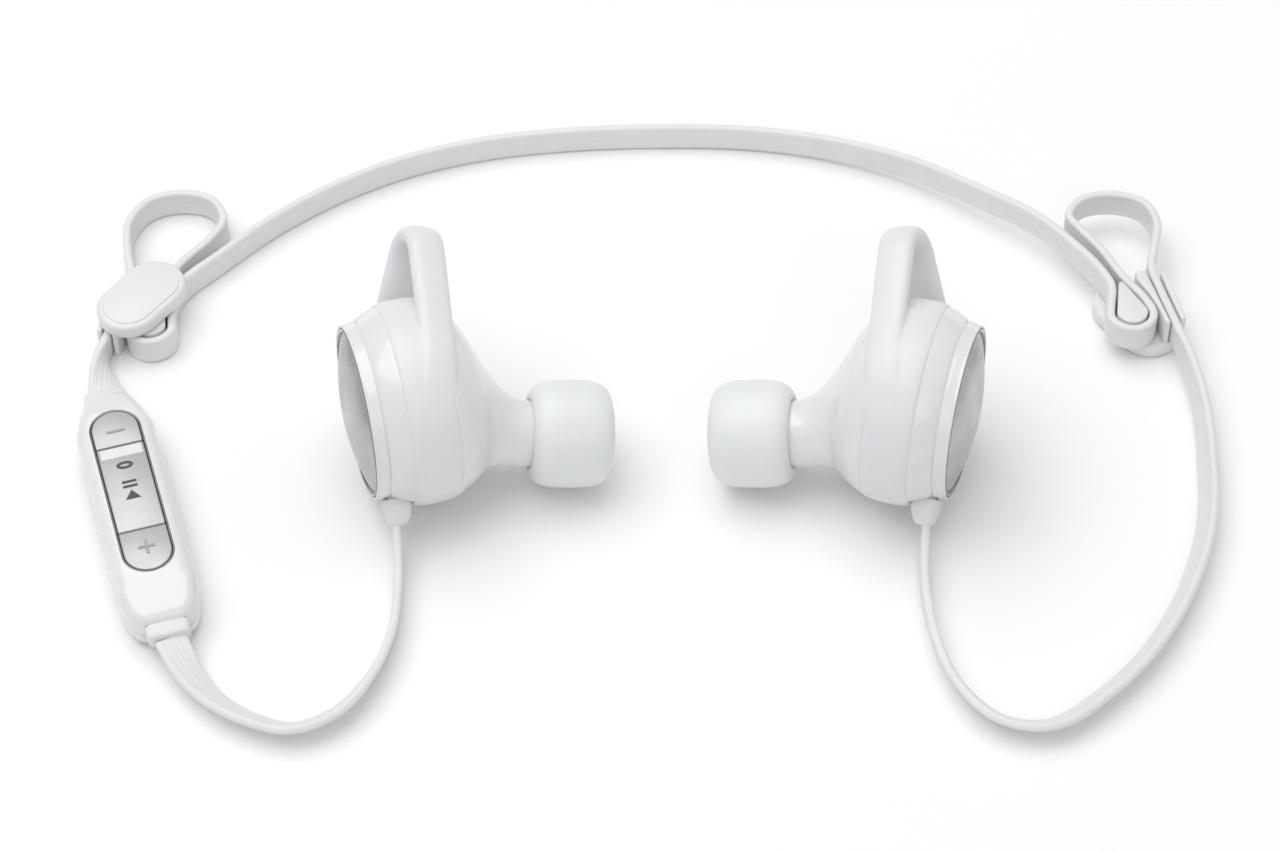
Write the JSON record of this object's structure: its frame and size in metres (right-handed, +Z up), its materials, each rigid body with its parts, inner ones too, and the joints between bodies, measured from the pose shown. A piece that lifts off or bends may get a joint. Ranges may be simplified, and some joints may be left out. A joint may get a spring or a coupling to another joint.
{
  "type": "neckband earphones",
  "caption": "Wireless in-ear earphones joined by a flat neck cable, with an in-line button remote, cable clips, silicone ear tips and wings.",
  "frame": {"origin": "on the table under the middle of the two ear pieces, with the free cable and what is on it left out", "axes": "+X from the left ear piece towards the right one, +Y from the cable ends towards the neck, +Z up from the table"},
  "size_m": [0.134, 0.0938, 0.0265],
  "materials": {
    "white_shell": "high gloss white shell",
    "disc_metal": "satin domed disc",
    "dark_chrome": "dark bright trim",
    "steel": "plain",
    "clear_silicone": "soft satin, slightly translucent white",
    "white_silicone": "soft satin white",
    "cable_rubber": "satin white cable sheath",
    "driver_frame": "moulded",
    "diaphragm_film": "thin film",
    "copper": "enamelled winding",
    "clip_plastic": "satin gloss white",
    "circuit_board": "solder mask",
    "battery_foil": "foil pouch",
    "button_silver": "satin silver paint",
    "pad_rubber": "matt"
  },
  "bodies": {
    "root": {"left_rear_housing": "white_shell", "left_disc": "disc_metal", "left_disc_ring": "dark_chrome", "left_front_housing": "white_shell", "left_nozzle": "white_shell", "left_nozzle_mesh": "steel", "left_wing": "white_silicone", "left_strain_relief": "cable_rubber", "left_driver_frame": "driver_frame", "left_driver_magnet": "steel", "left_driver_diaphragm": "diaphragm_film", "left_driver_coil": "copper", "main_board": "circuit_board", "usb_socket": "steel", "right_rear_housing": "white_shell", "right_disc": "disc_metal", "right_disc_ring": "dark_chrome", "right_front_housing": "white_shell", "right_nozzle": "white_shell", "right_nozzle_mesh": "steel", "right_wing": "white_silicone", "right_strain_relief": "cable_rubber", "right_driver_frame": "driver_frame", "right_driver_magnet": "steel", "right_driver_diaphragm": "diaphragm_film", "right_driver_coil": "copper", "battery": "battery_foil", "remote_front_shell": "white_shell", "remote_back_shell": "white_shell", "button_frame": "dark_chrome", "button_pad": "pad_rubber", "remote_board": "circuit_board", "dome_switches": "steel", "microphone": "steel", "remote_upper_boot": "cable_rubber", "remote_lower_boot": "cable_rubber", "left_clip": "clip_plastic", "right_clip": "clip_plastic", "cable_left": "cable_rubber", "cable_neck": "cable_rubber"},
    "left_tip": {"left_ear_tip": "clear_silicone"},
    "right_tip": {"right_ear_tip": "clear_silicone"},
    "usb_flap": {"usb_cover": "white_silicone"},
    "minus_key": {"button_minus": "button_silver"},
    "centre_key": {"button_centre": "button_silver"},
    "plus_key": {"button_plus": "button_silver"}
  },
  "joints": [
    {"name": "left_tip_pull", "type": "slide", "parent": "root", "child": "left_tip", "axis": [0.9788, 0.1283, -0.1596], "range_m": [0, 0.005]},
    {"name": "right_tip_pull", "type": "slide", "parent": "root", "child": "right_tip", "axis": [-0.9788, 0.1283, -0.1596], "range_m": [0, 0.005]},
    {"name": "usb_flap_hinge", "type": "hinge", "parent": "root", "child": "usb_flap", "pos_m": [-0.03509, 0.00581, 0.01891], "axis": [0.9582, 0.2838, -0.0349], "range_deg": [0, 100]},
    {"name": "minus_press", "type": "slide", "parent": "root", "child": "minus_key", "axis": [0, 0, -1], "range_m": [0, 0.00025], "stiffness_N_per_m": 2000},
    {"name": "centre_press", "type": "slide", "parent": "root", "child": "centre_key", "axis": [0, 0, -1], "range_m": [0, 0.00025], "stiffness_N_per_m": 2000},
    {"name": "plus_press", "type": "slide", "parent": "root", "child": "plus_key", "axis": [0, 0, -1], "range_m": [0, 0.00025], "stiffness_N_per_m": 2000}
  ]
}
